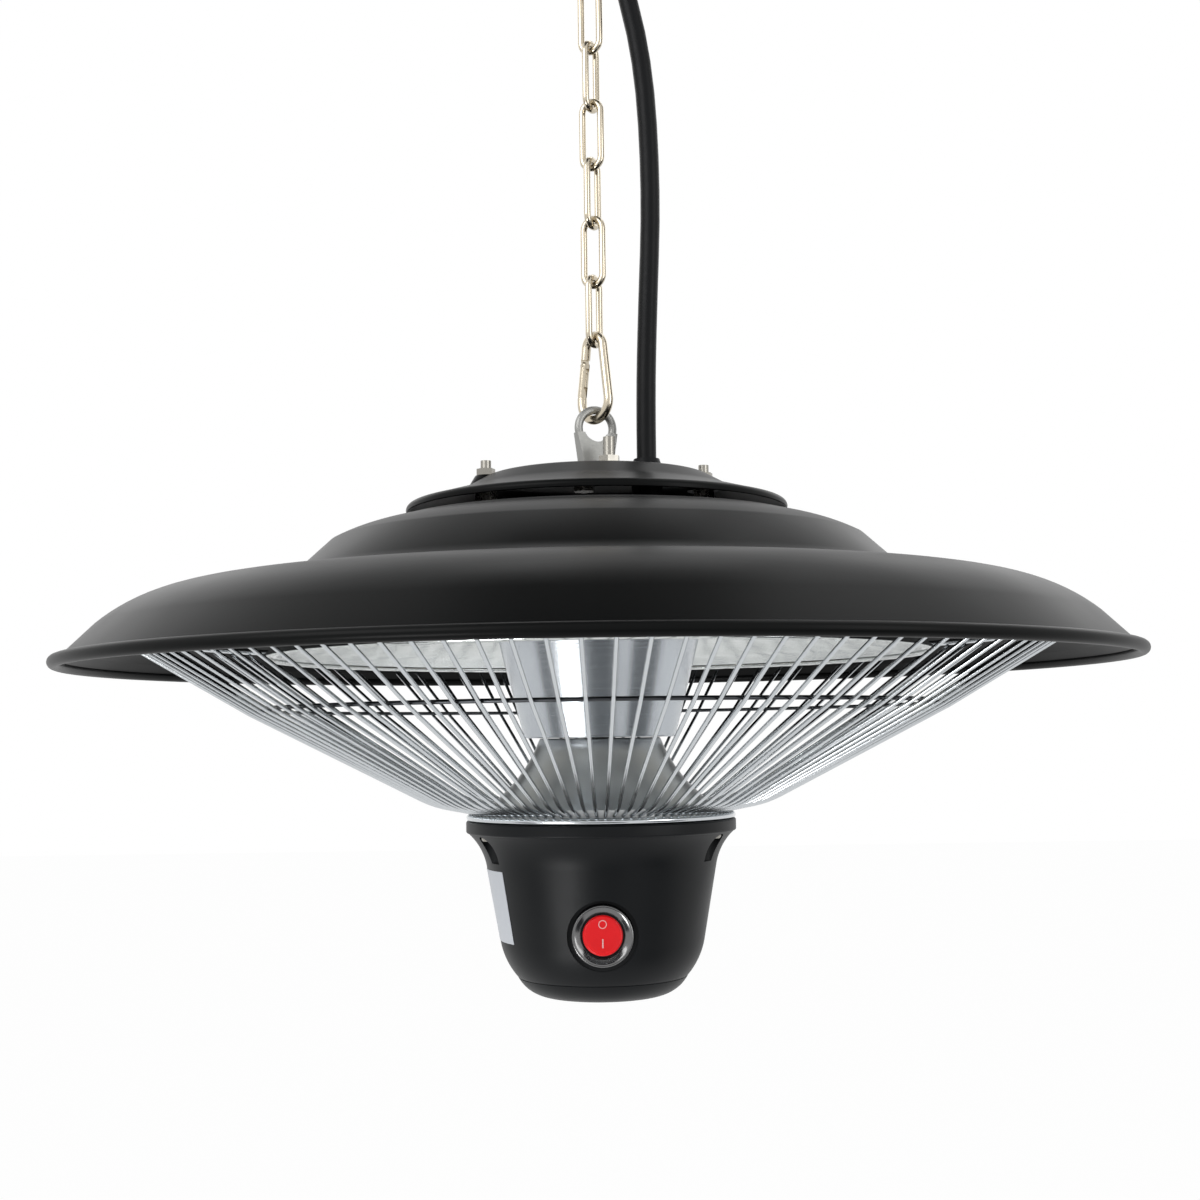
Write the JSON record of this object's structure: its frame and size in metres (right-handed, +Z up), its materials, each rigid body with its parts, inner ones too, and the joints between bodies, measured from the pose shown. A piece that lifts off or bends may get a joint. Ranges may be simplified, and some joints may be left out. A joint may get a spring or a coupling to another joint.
{
  "type": "electric gazebo heater",
  "caption": "Hanging electric heater with a stepped round shade over a polished reflector, a bowl-shaped wire guard, a switch cup below and a chain with snap hooks above.",
  "frame": {"origin": "the seat inside the top snap hook, where the heater hangs", "axes": "+Z up, -Y towards the switch, +X to the right of someone facing the switch"},
  "size_m": [0.44, 0.44, 0.6446],
  "materials": {
    "nickel_steel": "bright nickel-plated wire",
    "cast_grey": "grey die casting",
    "black_enamel": "satin black enamel",
    "polished_aluminium": "polished",
    "brushed_aluminium": "brushed",
    "chrome_wire": "chrome plated",
    "zinc_fastener": "zinc plated",
    "black_plastic": "fine matt moulding",
    "gloss_black": "gloss",
    "red_rocker": "gloss translucent red",
    "quartz": "clear quartz",
    "filament": "wound wire",
    "ceramic": "glazed ceramic",
    "brass": "turned brass",
    "cord_rubber": "smooth rubber",
    "strap": "woven hook-and-loop strap"
  },
  "bodies": {
    "top_hook": {"top_snap_hook": "nickel_steel", "top_snap_hook_rivet": "nickel_steel"},
    "top_gate": {"top_snap_hook_gate": "nickel_steel"},
    "link_one": {"chain_link_01": "nickel_steel"},
    "link_two": {"chain_link_02": "nickel_steel"},
    "chain": {"chain_link_03": "nickel_steel", "chain_link_04": "nickel_steel", "chain_link_05": "nickel_steel", "chain_link_06": "nickel_steel", "chain_link_07": "nickel_steel", "chain_link_08": "nickel_steel", "chain_link_09": "nickel_steel", "chain_link_10": "nickel_steel", "chain_link_11": "nickel_steel", "chain_link_12": "nickel_steel", "chain_link_13": "nickel_steel", "lower_snap_hook": "nickel_steel", "lower_snap_hook_rivet": "nickel_steel", "power_cord": "cord_rubber", "cord_coil": "cord_rubber", "coil_tie": "strap", "plug_body": "cord_rubber", "plug_pins": "brass"},
    "lower_gate": {"lower_snap_hook_gate": "nickel_steel"},
    "rocker": {"switch_rocker": "red_rocker"},
    "heater": {"hanging_eye": "cast_grey", "shade": "black_enamel", "top_cap": "black_enamel", "reflector": "polished_aluminium", "centre_column": "polished_aluminium", "lower_flare": "brushed_aluminium", "guard_wires": "chrome_wire", "guard_top_ring": "chrome_wire", "guard_middle_ring": "chrome_wire", "guard_lower_ring": "chrome_wire", "eye_bolts": "zinc_fastener", "eye_nuts": "zinc_fastener", "cap_studs": "zinc_fastener", "cap_nuts": "zinc_fastener", "cap_spacers": "zinc_fastener", "tie_tube": "zinc_fastener", "tie_nuts": "zinc_fastener", "guard_clips": "zinc_fastener", "lamp_clips": "zinc_fastener", "cup_screws": "zinc_fastener", "switch_cup": "black_plastic", "cup_bottom": "black_plastic", "switch_barrel": "black_plastic", "terminal_block": "black_plastic", "switch_bezel": "gloss_black", "lamp_tube": "quartz", "lamp_filament": "filament", "lamp_ends": "ceramic", "switch_terminals": "brass", "supply_tail": "cord_rubber", "cord_bush": "cord_rubber"}
  },
  "joints": [
    {"name": "top_gate_hinge", "type": "hinge", "parent": "top_hook", "child": "top_gate", "pos_m": [-0.00517, 0.00298, -0.022], "axis": [0.5, 0.866, 0], "range_deg": [0, 25], "stiffness_Nm_per_rad": 0.004, "springref_deg": -17.19},
    {"name": "first_link_swing", "type": "hinge", "parent": "top_hook", "child": "link_one", "pos_m": [0, 0, -0.034], "axis": [0.866, -0.5, 0], "range_deg": [-25, 25]},
    {"name": "second_link_swing", "type": "hinge", "parent": "link_one", "child": "link_two", "pos_m": [0, 0, -0.0592], "axis": [0.5, 0.866, 0], "range_deg": [-25, 25]},
    {"name": "heater_turn", "type": "hinge", "parent": "link_two", "child": "chain", "pos_m": [0, 0, -0.0849], "axis": [0, 0, 1], "range_deg": [-20, 20]},
    {"name": "lower_gate_hinge", "type": "hinge", "parent": "chain", "child": "lower_gate", "pos_m": [-0.00414, 0.00429, -0.3758], "axis": [-0.7193, -0.6947, 0], "range_deg": [0, 25], "stiffness_Nm_per_rad": 0.004, "springref_deg": -17.19},
    {"name": "heater_tilt", "type": "hinge", "parent": "chain", "child": "heater", "pos_m": [0, 0, -0.3998], "axis": [0.6947, -0.7193, 0], "range_deg": [-15, 15], "deforming": ["power_cord"]},
    {"name": "switch_press", "type": "hinge", "parent": "heater", "child": "rocker", "pos_m": [0, -0.0389, -0.6111], "axis": [1, 0, 0], "range_deg": [0, 14]}
  ]
}
